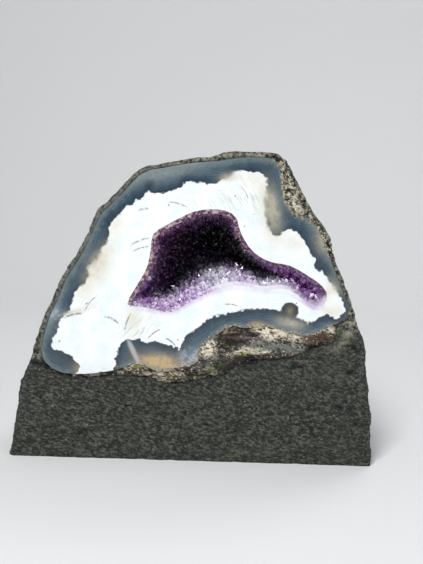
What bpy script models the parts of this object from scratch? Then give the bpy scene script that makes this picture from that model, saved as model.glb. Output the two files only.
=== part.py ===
"""Half of an amethyst geode, sawn and polished on its front and standing on its sawn base.

Frame: +Z up, +X to the right of the polished face, -Y out of the polished face.
The origin is the middle of the sawn bottom, below the middle of the stone's box.
The stone is made of five mineral bodies that lie in one another:
    basalt_matrix    the host rock, with the base block and the rough back
    agate_shell      the banded agate with the polished face and the cavity
    amethyst_druse   the lining of intergrown amethyst crystals in the cavity
    contact_crust    the crumbly mineral seam between the agate and the base block
    rim_crust        the speckled mineral patch on the upper right rim
"""

import math

import bmesh
import bpy
from mathutils import Vector, geometry, noise

MM = 0.001

# Driving dimensions, in metres.
STONE_DEPTH = 60.0 * MM
AGATE_DEPTH = 42.0 * MM
CAVITY_DEPTH = 27.0 * MM
BASE_PROUD = 1.2 * MM
BASE_CHAMFER = 0.9 * MM
CRUST_RECESS = 0.5 * MM
CONTACT_CRUST_DEPTH = 9.0 * MM
RIM_CRUST_DEPTH = 6.0 * MM
LINING_THICKNESS = 1.0 * MM
LINING_FLOOR = 1.9 * MM
CRYSTAL_HEIGHT = 1.5 * MM
CRYSTAL_PITCH = 1.7 * MM
GAP = 0.3 * MM
ROUGHNESS_HEIGHT = 3.0 * MM
ROUGHNESS_SIZE = 17.0 * MM

# The polished face lies in this plane until the stone is centred over its origin.
FACE_Y = 0.0

# Outlines on the face, in millimetres across (x) and up (z).
# Each runs clockwise as seen from the front.
STONE_OUTLINE = [
    (-57.0, -16.0), (-56.9, 1.0), (-55.3, 12.5), (-54.3, 22.5), (-51.3, 30.2), (-49.7, 35.5),
    (-47.0, 44.0), (-44.2, 50.0), (-41.6, 56.7), (-36.5, 65.1), (-33.4, 71.0), (-30.7, 78.2),
    (-26.2, 82.1), (-18.2, 90.8), (-11.7, 92.5), (-1.0, 94.9), (2.5, 94.6), (8.5, 97.0),
    (15.5, 96.9), (22.9, 97.1), (26.4, 95.0), (29.9, 88.8), (32.2, 84.6), (35.2, 79.5),
    (40.6, 72.5), (42.6, 65.2), (46.3, 56.8), (49.3, 49.2), (50.3, 45.2), (53.0, 39.6),
    (53.8, 32.5), (55.8, 19.6), (56.8, 8.0), (57.0, -1.0), (57.0, -16.0),
]
AGATE_OUTLINE = [
    (-46.4, 30.6), (-47.3, 34.5), (-45.2, 43.5), (-42.3, 50.2), (-39.8, 56.5), (-35.0, 64.5),
    (-31.9, 71.2), (-29.1, 77.3), (-24.9, 81.2), (-17.2, 89.6), (-11.0, 91.4), (-1.0, 93.4),
    (5.5, 94.0), (13.5, 95.4), (22.0, 95.3), (24.8, 93.5), (26.0, 87.5), (26.7, 82.8),
    (30.0, 78.6), (33.4, 78.0), (38.6, 72.0), (41.2, 65.0), (44.9, 56.3), (47.8, 49.4),
    (46.0, 46.6), (40.5, 43.6), (37.5, 41.5), (34.5, 41.0), (29.0, 41.9), (23.2, 43.8),
    (15.5, 43.1), (11.5, 43.7), (6.3, 40.2), (2.4, 36.0), (0.6, 31.0), (-5.0, 29.9),
    (-10.2, 28.2), (-17.5, 30.7), (-23.5, 28.8), (-32.0, 27.2), (-39.7, 27.0), (-43.8, 28.3),
]
CAVITY_OUTLINE = [
    (-20.9, 49.2), (-19.2, 53.4), (-15.3, 60.6), (-14.1, 66.5), (-13.4, 71.4), (-8.3, 74.9),
    (-0.3, 78.9), (7.7, 79.4), (11.9, 77.2), (13.3, 72.8), (17.2, 67.1), (22.6, 64.0),
    (28.6, 63.0), (34.2, 60.2), (39.2, 56.8), (41.0, 53.4), (38.8, 50.4), (33.5, 52.6),
    (28.0, 55.6), (20.3, 55.0), (14.5, 56.3), (8.0, 55.3), (-1.3, 50.9), (-7.6, 47.2),
    (-15.0, 48.5),
]
BASE_TOP_LINE = [
    (-51.0, 30.2), (-47.8, 30.6), (-44.8, 28.6), (-42.5, 26.8), (-36.2, 25.6), (-29.0, 26.1),
    (-22.0, 27.0), (-12.7, 25.8), (-6.4, 24.7), (-0.8, 25.6), (4.0, 26.8), (8.0, 26.6),
    (11.6, 29.6), (14.9, 31.9), (20.0, 32.7), (30.2, 34.0), (35.1, 36.6), (42.5, 39.0),
    (48.0, 40.2), (53.2, 39.2),
]
CRUST_TOP_LINE = [
    (46.5, 50.0), (38.0, 46.5), (23.0, 47.5), (11.0, 47.5), (3.0, 41.0), (-1.0, 34.0),
    (-17.0, 34.0), (-35.0, 30.5), (-44.5, 31.5),
]
CRUST_LEFT_END = 2
CRUST_RIGHT_END = -2
RIM_CRUST_OUTLINE = [
    (21.0, 91.0), (21.6, 96.1), (25.6, 94.4), (28.9, 88.6), (31.2, 84.1), (34.4, 78.9),
    (39.6, 71.9), (41.6, 64.8), (36.0, 66.0), (30.0, 74.0), (23.0, 82.0),
]

# The cavity's wall has a ring this far inside its edge, and a lattice with a margin inside that.
WALL_INSET = 0.5 * MM
WALL_PITCH = 3.0 * MM
WALL_MARGIN = 1.0 * MM
LINING_MARGIN = 0.6 * MM

# How finely the outlines are sampled, and how each rounded back is built.
STONE_STEP = 4.0 * MM
AGATE_STEP = 3.4 * MM
CAVITY_STEP = 2.4 * MM
STONE_CENTRE = (1.0, 26.0)
AGATE_CENTRE = (3.0, 60.0)
STONE_SQUARENESS = 2.5
AGATE_SQUARENESS = 2.3
STONE_RINGS = 11
AGATE_RINGS = 6
LAST_RING_ANGLE = 0.93

# The cavity: a deep chamber on the left, and a shallow gutter on the right.
CHAMBER_REACH = 12.5 * MM
GUTTER_DEPTH = 9.0 * MM
CHAMBER_END_X = 17.0 * MM
GUTTER_START_X = 30.0 * MM

COLOURS = {
    "basalt_matrix": ((0.045, 0.047, 0.046), 0.85),
    "agate_shell": ((0.62, 0.68, 0.72), 0.15),
    "amethyst_druse": ((0.20, 0.06, 0.36), 0.12),
    "contact_crust": ((0.33, 0.27, 0.17), 0.80),
    "rim_crust": ((0.36, 0.32, 0.21), 0.75),
}


# ------------------------------------------------------------------ outlines


def spline_point(p0, p1, p2, p3, t):
    """A point between p1 and p2 on a Catmull-Rom curve."""
    return 0.5 * (
        2 * p1
        + (p2 - p0) * t
        + (2 * p0 - 5 * p1 + 4 * p2 - p3) * t * t
        + (3 * p1 - 3 * p2 + p3 - p0) * t * t * t
    )


def smooth(points_mm, step, closed=True):
    """The outline through these points as a smooth curve, with a point about every step."""
    points = [Vector(p) * MM for p in points_mm]
    count = len(points)
    last = count if closed else count - 1
    fine = []
    for i in range(last):
        if closed:
            around = [points[(i + k) % count] for k in (-1, 0, 1, 2)]
        else:
            around = [points[min(max(i + k, 0), count - 1)] for k in (-1, 0, 1, 2)]
        fine += [spline_point(*around, k / 8) for k in range(8)]
    fine.append(points[0] if closed else points[-1])
    lengths = [0.0]
    for a, b in zip(fine, fine[1:]):
        lengths.append(lengths[-1] + (b - a).length)
    pieces = round(lengths[-1] / step)
    wanted = [lengths[-1] * k / pieces for k in range(pieces + (not closed))]
    found, at = [], 0
    for length in wanted:
        while at < len(lengths) - 2 and lengths[at + 1] < length:
            at += 1
        share = (length - lengths[at]) / (lengths[at + 1] - lengths[at])
        found.append(fine[at].lerp(fine[at + 1], share))
    return found


def grown(loop, distance):
    """A clockwise outline moved outwards by a distance, or inwards if it is negative."""
    found = []
    for i, p in enumerate(loop):
        along = loop[(i + 1) % len(loop)] - loop[i - 1]
        outwards = Vector((-along.y, along.x)).normalized()
        found.append(p + outwards * distance)
    return found


def distance_to(loop, p):
    """How far a point is from an outline."""
    nearest = math.inf
    for a, b in zip(loop, loop[1:] + loop[:1]):
        edge = b - a
        share = max(0.0, min(1.0, (p - a).dot(edge) / edge.length_squared))
        nearest = min(nearest, (a + edge * share - p).length)
    return nearest


def inside(loop, p):
    """Whether a point lies inside an outline."""
    found = False
    for a, b in zip(loop, loop[1:] + loop[:1]):
        if (a.y > p.y) != (b.y > p.y):
            found ^= p.x < a.x + (p.y - a.y) * (b.x - a.x) / (b.y - a.y)
    return found


# -------------------------------------------------------------------- solids


def new_object(name, bm, helper=False):
    """An object of this mesh. A helper only cuts others and isn't part of the stone."""
    bmesh.ops.recalc_face_normals(bm, faces=bm.faces)
    if bm.calc_volume(signed=True) < 0:
        bmesh.ops.reverse_faces(bm, faces=bm.faces)
    mesh = bpy.data.meshes.new(name)
    bm.to_mesh(mesh)
    bm.free()
    obj = bpy.data.objects.new(name, mesh)
    bpy.context.scene.collection.objects.link(obj)
    if helper:
        obj.hide_render = True
        obj.display_type = "WIRE"
    return obj


def add_ring(bm, loop, y):
    """Vertices of an outline at one depth."""
    return [bm.verts.new((p.x, y, p.y)) for p in loop]


def bridge(bm, first, second):
    """Faces between two rings with the same number of points."""
    for i in range(len(first)):
        j = (i + 1) % len(first)
        bm.faces.new((first[i], first[j], second[j], second[i]))


def add_back(bm, front, loop, y, depth, centre_mm, squareness, rings, lumps=0.0):
    """A rounded back behind a front ring: smaller and smaller rings, and a point at the end.

    With lumps, the back swells and sinks by about that much, but not near the front ring.
    """
    centre = Vector(centre_mm) * MM
    previous = front
    behind = []
    for k in range(1, rings + 1):
        share = math.sin(math.pi / 2 * LAST_RING_ANGLE * k / rings)
        scale = (1 - share**squareness) ** (1 / squareness)
        ring = add_ring(bm, [centre + (p - centre) * scale for p in loop], y + depth * share)
        bridge(bm, previous, ring)
        behind += [(v, min(1.0, max(0.0, 3 * share - 0.5))) for v in ring]
        previous = ring
    tip = bm.verts.new((centre.x, y + depth, centre.y))
    for a, b in zip(previous, previous[1:] + previous[:1]):
        bm.faces.new((a, b, tip))
    heart = Vector((centre.x, y, centre.y))
    for v, fade in behind:
        lump = lumps * fade * (0.3 + noise.fractal(v.co / ROUGHNESS_SIZE, 1.0, 2.0, 3))
        v.co += (v.co - heart).normalized() * lump


def make_boulder(name, loop, front, depth, centre_mm, squareness, rings, lumps=0.0, helper=False):
    """A stone with a flat front of this outline and a rounded back."""
    bm = bmesh.new()
    first = add_ring(bm, loop, front)
    bm.faces.new(first)
    start = first
    if front < FACE_Y:
        start = add_ring(bm, loop, FACE_Y)
        bridge(bm, first, start)
    add_back(bm, start, loop, FACE_Y, depth, centre_mm, squareness, rings, lumps)
    return new_object(name, bm, helper)


def make_prism(name, loop, front, back, helper=False):
    """A plate of this outline between two depths."""
    bm = bmesh.new()
    first = add_ring(bm, loop, front)
    second = add_ring(bm, loop, back)
    bm.faces.new(first)
    bm.faces.new(reversed(second))
    bridge(bm, first, second)
    return new_object(name, bm, helper)


def cut(obj, cutter):
    """Takes the cutter's shape out of an object."""
    modifier = obj.modifiers.new("cut_" + cutter.name, "BOOLEAN")
    modifier.operation = "DIFFERENCE"
    modifier.solver = "EXACT"
    modifier.object = cutter


# -------------------------------------------------------------- the cavity


def cavity_depth(loop, p, floor_rise=0.0):
    """How deep the cavity is behind a point of the face: steep at its edge, then rounding off."""
    reach = min(1.0, distance_to(loop, p) / CHAMBER_REACH)
    share = min(1.0, max(0.0, (p.x - CHAMBER_END_X) / (GUTTER_START_X - CHAMBER_END_X)))
    deepest = CAVITY_DEPTH + (GUTTER_DEPTH - CAVITY_DEPTH) * share * share * (3 - 2 * share)
    return (deepest - floor_rise) * math.sqrt(reach * (2 - reach))


def hexagon_lattice(loop, pitch, margin):
    """Lattice points inside an outline, each with whether it is the middle of a hexagon."""
    low = Vector((min(p.x for p in loop), min(p.y for p in loop)))
    high = Vector((max(p.x for p in loop), max(p.y for p in loop)))
    height = pitch * math.sqrt(3) / 2
    found = []
    for row in range(int((high.y - low.y) / height) + 2):
        for column in range(int((high.x - low.x) / pitch) + 2):
            p = low + Vector((pitch * (column + 0.5 * (row % 2)), height * row))
            if inside(loop, p) and distance_to(loop, p) > margin:
                found.append((p, (column - row // 2 - row) % 3 == 0))
    return found


def wall_point(loop, p, floor_rise, offset):
    """The point of the cavity's wall behind a point of the face, moved off the wall by an offset."""
    step = 0.2 * MM
    slope = Vector((
        cavity_depth(loop, p + Vector((step, 0))) - cavity_depth(loop, p - Vector((step, 0))),
        cavity_depth(loop, p + Vector((0, step))) - cavity_depth(loop, p - Vector((0, step))),
    )) / (2 * step)
    into_cavity = Vector((slope.x, -1.0, slope.y)).normalized()
    wall = Vector((p.x, FACE_Y + cavity_depth(loop, p, floor_rise), p.y))
    return wall + into_cavity * offset


def add_cavity_wall(bm, rim, layout, edge, pitch, margin, floor_rise=0.0, crystals=0.0):
    """The cavity's wall, hung behind a rim with one vertex for each point of the layout outline.

    Its depth is measured from the edge outline. Walls with the same layout, pitch and margin
    have the same triangles, so that one with a smaller edge stays clear of the other.
    With crystals, each lattice hexagon rises in its middle as a six-sided point.
    """
    inset = grown(layout, -WALL_INSET)
    ring = [bm.verts.new(wall_point(edge, p, floor_rise, 0.0)) for p in inset]
    bridge(bm, rim, ring)
    lattice = hexagon_lattice(inset, pitch, margin)
    flat = inset + [p for p, _ in lattice]
    sides = [(i, (i + 1) % len(inset)) for i in range(len(inset))]
    _, _, triangles, origins, _, _ = geometry.delaunay_2d_cdt(flat, sides, [], 1, 1e-7)
    verts = []
    for origin in origins:
        at = min(origin)
        if at < len(inset):
            verts.append(ring[at])
            continue
        p, is_tip = lattice[at - len(inset)]
        height = min(crystals, 0.5 * distance_to(edge, p)) if is_tip else 0.0
        verts.append(bm.verts.new(wall_point(edge, p, floor_rise, height)))
    for triangle in triangles:
        bm.faces.new([verts[i] for i in triangle])


def add_flat_ring(bm, outer, inner):
    """The flat face between an outer and an inner ring of vertices."""
    rings = outer + inner
    flat = [Vector((v.co.x, v.co.z)) for v in rings]
    count = len(outer)
    sides = [(i, (i + 1) % count) for i in range(count)]
    hole = [(count + i, count + (i + 1) % len(inner)) for i in range(len(inner))]
    _, _, triangles, origins, _, _ = geometry.delaunay_2d_cdt(flat, sides + hole, [], 1, 1e-7)
    hole_outline = flat[count:]
    for triangle in triangles:
        corners = [min(origins[i]) for i in triangle]
        middle = sum((flat[i] for i in corners), Vector((0, 0))) / 3
        if not inside(hole_outline, middle):
            bm.faces.new([rings[i] for i in corners])


# ---------------------------------------------------------------- the bodies


def make_agate_shell():
    """The banded agate: a polished flat face, the open cavity, and a rounded back."""
    bm = bmesh.new()
    loop = smooth(AGATE_OUTLINE, AGATE_STEP)
    cavity = smooth(CAVITY_OUTLINE, CAVITY_STEP)
    outer = add_ring(bm, loop, FACE_Y)
    inner = add_ring(bm, cavity, FACE_Y)
    add_flat_ring(bm, outer, inner)
    add_back(bm, outer, loop, FACE_Y, AGATE_DEPTH, AGATE_CENTRE, AGATE_SQUARENESS, AGATE_RINGS)
    add_cavity_wall(bm, inner, cavity, cavity, WALL_PITCH, WALL_MARGIN)
    return new_object("agate_shell", bm)


def make_amethyst_druse():
    """The crystal lining: a thin crust on the cavity's wall, covered with six-sided points."""
    bm = bmesh.new()
    cavity = smooth(CAVITY_OUTLINE, CAVITY_STEP)
    back = grown(cavity, -GAP)
    lining = grown(cavity, -GAP - LINING_THICKNESS)
    outer = add_ring(bm, back, FACE_Y)
    inner = add_ring(bm, lining, FACE_Y)
    add_flat_ring(bm, outer, inner)
    add_cavity_wall(bm, outer, cavity, back, WALL_PITCH, WALL_MARGIN, GAP)
    add_cavity_wall(
        bm, inner, lining, lining, CRYSTAL_PITCH, LINING_MARGIN, LINING_FLOOR, CRYSTAL_HEIGHT
    )
    return new_object("amethyst_druse", bm)


def agate_socket():
    """The room that the agate takes in the rock around it."""
    loop = grown(smooth(AGATE_OUTLINE, AGATE_STEP), GAP)
    front = FACE_Y - 5 * BASE_PROUD
    depth = AGATE_DEPTH + GAP
    return make_boulder(
        "agate_socket", loop, front, depth, AGATE_CENTRE, AGATE_SQUARENESS, AGATE_RINGS, helper=True
    )


def contact_crust_outline():
    """From the left end along the base block's top edge, and back inside the agate."""
    along_base = BASE_TOP_LINE[CRUST_LEFT_END:CRUST_RIGHT_END]
    bottom = smooth(along_base, AGATE_STEP, closed=False)
    top = smooth(CRUST_TOP_LINE, 2 * AGATE_STEP, closed=False)
    return (bottom + top)[::-1]


def make_crust(name, loop, depth, socket):
    """A mineral crust: a plate of this outline, cut to the agate behind it."""
    crust = make_prism(name, loop, FACE_Y + CRUST_RECESS, FACE_Y + depth)
    cut(crust, socket)
    return crust


def crust_room(name, loop, depth):
    """The room that a crust takes in the rock around it."""
    front = FACE_Y - 5 * BASE_PROUD
    return make_prism(name, grown(loop, GAP), front, FACE_Y + depth + GAP, helper=True)


def face_step():
    """What lies in front of the polished face, above the base block's top edge."""
    edge = smooth(BASE_TOP_LINE, AGATE_STEP, closed=False)
    margin = 20 * MM
    left, right = edge[0].x - margin, edge[-1].x + margin
    top = 97 * MM + margin
    corners = [
        Vector((right, edge[-1].y)), Vector((right, top)), Vector((left, top)), Vector((left, edge[0].y)),
    ]
    return make_prism("face_step", (edge + corners)[::-1], FACE_Y - 5 * BASE_PROUD, FACE_Y, helper=True)


def ground_block():
    """What the saw took away below the base."""
    size = 200 * MM
    bm = bmesh.new()
    bmesh.ops.create_cube(bm, size=size)
    bmesh.ops.translate(bm, verts=bm.verts, vec=(0, 0, -size / 2))
    return new_object("ground_block", bm, helper=True)


def make_basalt_matrix(socket, crust_rooms):
    """The host rock: a rough boulder with a proud base block, hollowed for what lies in it."""
    loop = smooth(STONE_OUTLINE, STONE_STEP)
    bm = bmesh.new()
    first = add_ring(bm, grown(loop, -BASE_CHAMFER), FACE_Y - BASE_PROUD)
    bm.faces.new(first)
    second = add_ring(bm, loop, FACE_Y - BASE_PROUD + BASE_CHAMFER)
    bridge(bm, first, second)
    start = FACE_Y - BASE_PROUD + BASE_CHAMFER
    depth = STONE_DEPTH - BASE_CHAMFER
    add_back(
        bm, second, loop, start, depth, STONE_CENTRE, STONE_SQUARENESS, STONE_RINGS, ROUGHNESS_HEIGHT
    )
    matrix = new_object("basalt_matrix", bm)
    for cutter in (ground_block(), face_step(), *crust_rooms, socket):
        cut(matrix, cutter)
    return matrix


def give_material(obj):
    """A plain material in the mineral's colour."""
    colour, roughness = COLOURS[obj.name]
    material = bpy.data.materials.new(obj.name)
    material.use_nodes = True
    shader = material.node_tree.nodes["Principled BSDF"]
    shader.inputs["Base Color"].default_value = (*colour, 1.0)
    shader.inputs["Roughness"].default_value = roughness
    shader.inputs["Metallic"].default_value = 0.0
    obj.data.materials.append(material)


def centre_over_origin(matrix):
    """Moves the stone and its cutters so that the matrix's box is centred over the origin."""
    graph = bpy.context.evaluated_depsgraph_get()
    corners = [Vector(corner) for corner in matrix.evaluated_get(graph).bound_box]
    low = Vector((min(c.x for c in corners), min(c.y for c in corners)))
    high = Vector((max(c.x for c in corners), max(c.y for c in corners)))
    middle = (low + high) / 2
    for obj in bpy.data.objects:
        obj.location = (-middle.x, -middle.y, 0.0)


def main():
    for obj in list(bpy.data.objects):
        bpy.data.objects.remove(obj)
    socket = agate_socket()
    contact_loop = contact_crust_outline()
    rim_loop = smooth(RIM_CRUST_OUTLINE, AGATE_STEP)
    rooms = [
        crust_room("contact_room", contact_loop, CONTACT_CRUST_DEPTH),
        crust_room("rim_room", rim_loop, RIM_CRUST_DEPTH),
    ]
    stone = [
        make_basalt_matrix(socket, rooms),
        make_agate_shell(),
        make_amethyst_druse(),
        make_crust("contact_crust", contact_loop, CONTACT_CRUST_DEPTH, socket),
        make_crust("rim_crust", rim_loop, RIM_CRUST_DEPTH, socket),
    ]
    for obj in stone:
        give_material(obj)
    centre_over_origin(stone[0])


main()
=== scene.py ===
# %% [markdown]
# # Half a geode, sawn, polished and standing on its base
#
# A geode is a hollow in dark volcanic rock that agate and then amethyst have lined.
# This stone was sawn through its hollow and polished, and sawn again below so that it stands.
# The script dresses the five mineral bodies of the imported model, one section for each:
# the basalt around everything, the banded agate, the amethyst druse, and two crumbly crusts.
# Lengths are in metres unless a name or a comment says millimetres.

import math

import bmesh
import bpy
import numpy as np
from mathutils import Matrix, Vector, geometry


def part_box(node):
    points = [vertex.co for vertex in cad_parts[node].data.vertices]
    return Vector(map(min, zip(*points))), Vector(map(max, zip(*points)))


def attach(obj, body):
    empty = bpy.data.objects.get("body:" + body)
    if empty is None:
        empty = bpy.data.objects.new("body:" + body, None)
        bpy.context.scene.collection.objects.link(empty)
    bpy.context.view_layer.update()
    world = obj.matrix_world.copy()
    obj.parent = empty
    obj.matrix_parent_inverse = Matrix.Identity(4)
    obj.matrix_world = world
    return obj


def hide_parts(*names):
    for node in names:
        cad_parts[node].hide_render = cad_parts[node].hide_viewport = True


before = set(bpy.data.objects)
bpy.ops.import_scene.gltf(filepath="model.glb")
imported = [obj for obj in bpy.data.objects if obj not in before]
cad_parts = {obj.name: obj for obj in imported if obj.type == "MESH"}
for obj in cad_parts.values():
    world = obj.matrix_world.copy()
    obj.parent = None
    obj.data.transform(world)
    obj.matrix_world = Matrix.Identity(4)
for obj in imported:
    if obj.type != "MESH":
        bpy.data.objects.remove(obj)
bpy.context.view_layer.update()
MM = 0.001
FACE_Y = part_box("agate_shell")[0].y

# %% [markdown]
# ## The room
#
# A stone with both near-black rock and pure white agate needs broad, soft light.
# One large lamp above and in front lights the floor of the hollow and leaves its ceiling dark,
# helped by painted shade in the amethyst's colours, which is how the depth of a geode is seen.
# The floor sweeps up into a pale wall.

# %% Floor and wall in one sweep
WALL_DISTANCE = 0.45
SWEEP_RADIUS = 0.20


def linked(name, data):
    """A new object in the scene."""
    obj = bpy.data.objects.new(name, data)
    bpy.context.scene.collection.objects.link(obj)
    return obj


def make_sweep():
    """A floor that curves up into a wall, as in a studio."""
    foot = WALL_DISTANCE - SWEEP_RADIUS
    angles = [math.pi / 2 * step / 12 for step in range(13)]
    bend = [(foot + SWEEP_RADIUS * math.sin(a), SWEEP_RADIUS * (1 - math.cos(a))) for a in angles]
    profile = [(-1.2, 0.0), *bend, (WALL_DISTANCE, 1.5)]
    bm = bmesh.new()
    rows = [[bm.verts.new((x, y, z)) for y, z in profile] for x in (-1.5, 1.5)]
    for i in range(len(profile) - 1):
        bm.faces.new((rows[0][i], rows[1][i], rows[1][i + 1], rows[0][i + 1]))
    mesh = bpy.data.meshes.new("sweep")
    bm.to_mesh(mesh)
    bm.free()
    mesh.shade_smooth()
    return linked("sweep", mesh)


sweep = make_sweep()
print("room with a wall", WALL_DISTANCE, "m behind the stone")

# %% Camera
# It looks slightly down on the polished face, and is turned a little about its own axis.
CAMERA_TARGET = Vector((5.0, -30.0, 57.1)) * MM
CAMERA_DISTANCE = 300 * MM
CAMERA_ELEVATION = math.radians(8.0)
CAMERA_ROLL = math.radians(1.76)

lens = bpy.data.cameras.new("camera")
lens.lens = 62
lens.sensor_width = 36
camera = linked("camera", lens)
backwards = Vector((0, -math.cos(CAMERA_ELEVATION), math.sin(CAMERA_ELEVATION)))
level_up = Vector((0, math.sin(CAMERA_ELEVATION), math.cos(CAMERA_ELEVATION)))
right = Vector((math.cos(CAMERA_ROLL), 0, 0)) + level_up * math.sin(CAMERA_ROLL)
up = level_up * math.cos(CAMERA_ROLL) - Vector((math.sin(CAMERA_ROLL), 0, 0))
turn = Matrix((right, up, backwards)).transposed().to_4x4()
camera.matrix_world = Matrix.Translation(CAMERA_TARGET + backwards * CAMERA_DISTANCE) @ turn
bpy.context.scene.camera = camera
print("camera", CAMERA_DISTANCE, "m from the face")


# %% Lamps and sky
def add_lamp(name, place, target, size, power):
    """A square lamp that faces the target."""
    light = bpy.data.lights.new(name, "AREA")
    light.size = size
    light.energy = power
    lamp = linked(name, light)
    lamp.location = place
    lamp.rotation_euler = (Vector(target) - Vector(place)).to_track_quat("-Z", "Y").to_euler()


STONE_MIDDLE = (0.0, 0.0, 0.05)
add_lamp("key_lamp", (-0.14, -0.42, 0.52), STONE_MIDDLE, 0.16, 3.1)
add_lamp("fill_lamp", (0.45, -0.50, 0.25), STONE_MIDDLE, 0.50, 0.7)
add_lamp("back_lamp", (0.25, 0.35, 0.55), STONE_MIDDLE, 0.30, 1.0)

sky = bpy.data.worlds.new("sky")
sky.use_nodes = True
background = sky.node_tree.nodes["Background"]
background.inputs["Color"].default_value = (0.90, 0.94, 1.0, 1.0)
background.inputs["Strength"].default_value = 0.25
bpy.context.scene.world = sky
bpy.context.scene.view_settings.view_transform = "Standard"
print("three lamps and a pale sky")

# %% [markdown]
# ## Helpers for nodes
#
# Materials and Geometry Nodes trees are both node trees, so one short helper builds both.
# An input is given as a plain value or as another node's output, which is then linked.
# The small sums find their tree from the outputs that they are given.


# %% A node with its settings and inputs
def put(tree, kind, inputs=None, **settings):
    """Adds a node. inputs maps a socket's name or number to a value or to an output to link."""
    node = tree.nodes.new(kind)
    for name, value in settings.items():
        setattr(node, name, value)
    for key, value in (inputs or {}).items():
        socket = node.inputs[key]
        if isinstance(value, bpy.types.NodeSocket):
            tree.links.new(value, socket)
        else:
            socket.default_value = value
    return node


def tree_of(*values):
    """The tree that holds the first output among these values."""
    return next(value.id_data for value in values if isinstance(value, bpy.types.NodeSocket))


def maths(operation, first, second=0.5, clamp=False):
    """The output of a Math node."""
    tree = tree_of(first, second)
    node = put(tree, "ShaderNodeMath", {0: first, 1: second}, operation=operation, use_clamp=clamp)
    return node.outputs[0]


def times(first, second):
    """One value multiplied by another."""
    return maths("MULTIPLY", first, second)


def plus(first, second):
    """The sum of two values."""
    return maths("ADD", first, second)


def at_most(limit, value):
    """The value, but never more than this limit."""
    return maths("MINIMUM", value, limit)


def spread(value, low, high, to_low=0.0, to_high=1.0, smooth=False):
    """The value brought from one range to another, and kept inside it."""
    kind = "SMOOTHSTEP" if smooth else "LINEAR"
    inputs = {"Value": value, "From Min": low, "From Max": high, "To Min": to_low, "To Max": to_high}
    node = put(tree_of(value), "ShaderNodeMapRange", inputs, interpolation_type=kind)
    return node.outputs["Result"]


def paint(red, green, blue):
    """A colour from everyday 0 to 255 values, as the linear values that Blender wants."""
    def linear(value):
        share = value / 255
        return share / 12.92 if share <= 0.04045 else ((share + 0.055) / 1.055) ** 2.4
    return (linear(red), linear(green), linear(blue), 1.0)


def blend(share, first, second):
    """The first colour with this share of the second over it."""
    inputs = {0: share, 6: first, 7: second}
    return put(tree_of(share), "ShaderNodeMix", inputs, data_type="RGBA").outputs[2]


def coated(colour, *coats):
    """A colour under more coats, each with its share and its tone from 0 to 255."""
    for share, tone in coats:
        colour = blend(share, colour, paint(*tone))
    return colour


def noise_at(place, size, detail=3.0, roughness=0.55, **inputs):
    """Noise whose lumps are about this size across, from 0 to 1."""
    scale = 1 / size if isinstance(size, float) else maths("DIVIDE", 1.0, size)
    inputs.update({"Vector": place, "Scale": scale, "Detail": detail, "Roughness": roughness})
    return put(tree_of(place), "ShaderNodeTexNoise", inputs).outputs[0]


def stretched(place, across):
    """A place squeezed from side to side, so that a pattern comes out longer that way."""
    inputs = {0: place, 1: (across, 1, 1)}
    return put(tree_of(place), "ShaderNodeVectorMath", inputs, operation="MULTIPLY").outputs[0]


def turned(place, angle):
    """A place turned about the axis that points into the stone, in degrees."""
    inputs = {"Vector": place, "Angle": math.radians(angle)}
    return put(tree_of(place), "ShaderNodeVectorRotate", inputs, rotation_type="Y_AXIS").outputs[0]


def parts_of(vector):
    """A vector's three numbers."""
    return put(tree_of(vector), "ShaderNodeSeparateXYZ", {0: vector}).outputs


def put_group(group, inputs):
    """The output of a shader node group."""
    return put(tree_of(*inputs.values()), "ShaderNodeGroup", inputs, node_tree=group).outputs[0]


def new_material(name):
    """A material with its tree, its shader and the Object coordinates that its patterns read."""
    material = bpy.data.materials.new(name)
    material.use_nodes = True
    tree = material.node_tree
    place = put(tree, "ShaderNodeTexCoord").outputs["Object"]
    return material, tree, tree.nodes["Principled BSDF"], place


def read_attribute(tree, name):
    """A number that was stored for each vertex."""
    return put(tree, "ShaderNodeAttribute", attribute_name=name).outputs["Fac"]


def finish_surface(shader, colour, roughness, height, distance, strength=1.0):
    """Gives the shader its colour, its roughness and a bump of this height."""
    tree = shader.id_data
    bump = put(tree, "ShaderNodeBump", {"Height": height, "Distance": distance, "Strength": strength})
    tree.links.new(colour, shader.inputs["Base Color"])
    tree.links.new(roughness, shader.inputs["Roughness"])
    tree.links.new(bump.outputs["Normal"], shader.inputs["Normal"])


print("node helpers ready")


# %% Node groups, and the meshes and pieces made with them
def new_group(kind, name, inputs, output):
    """A node group with one output. Each input has a kind of socket, or else a number."""
    tree = bpy.data.node_groups.new(name, kind)
    for label, value in inputs.items():
        kinds = {str: value, int: "Int", float: "Float"}
        socket_type = "NodeSocket" + kinds[type(value)]
        socket = tree.interface.new_socket(label, in_out="INPUT", socket_type=socket_type)
        if not isinstance(value, str):
            socket.default_value = value
    label, value = output
    tree.interface.new_socket(label, in_out="OUTPUT", socket_type="NodeSocket" + value)
    return tree, put(tree, "NodeGroupInput").outputs, put(tree, "NodeGroupOutput").inputs


def new_tree(name, inputs):
    """A Geometry Nodes tree with a Geometry input, and these named number inputs."""
    inputs = {"Geometry": "Geometry", **inputs}
    return new_group("GeometryNodeTree", name, inputs, ("Geometry", "Geometry"))


def evaluated(obj):
    """The mesh that an object's modifiers make. The object itself goes."""
    graph = bpy.context.evaluated_depsgraph_get()
    made = bpy.data.meshes.new_from_object(obj.evaluated_get(graph), depsgraph=graph)
    bpy.data.objects.remove(obj)
    return made


def grown_by(tree, mesh, name, material, **values):
    """The mesh that the tree makes of this mesh, with the tree's inputs set by name."""
    obj = linked(name, mesh)
    modifier = obj.modifiers.new(tree.name, "NODES")
    modifier.node_group = tree
    for item in tree.interface.items_tree:
        key = item.name.replace(" ", "_").lower()
        if item.in_out == "INPUT" and key in values:
            modifier[item.identifier] = values[key]
    made = evaluated(obj)
    made.name = name
    made.materials.clear()
    made.materials.append(material)
    return made


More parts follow.
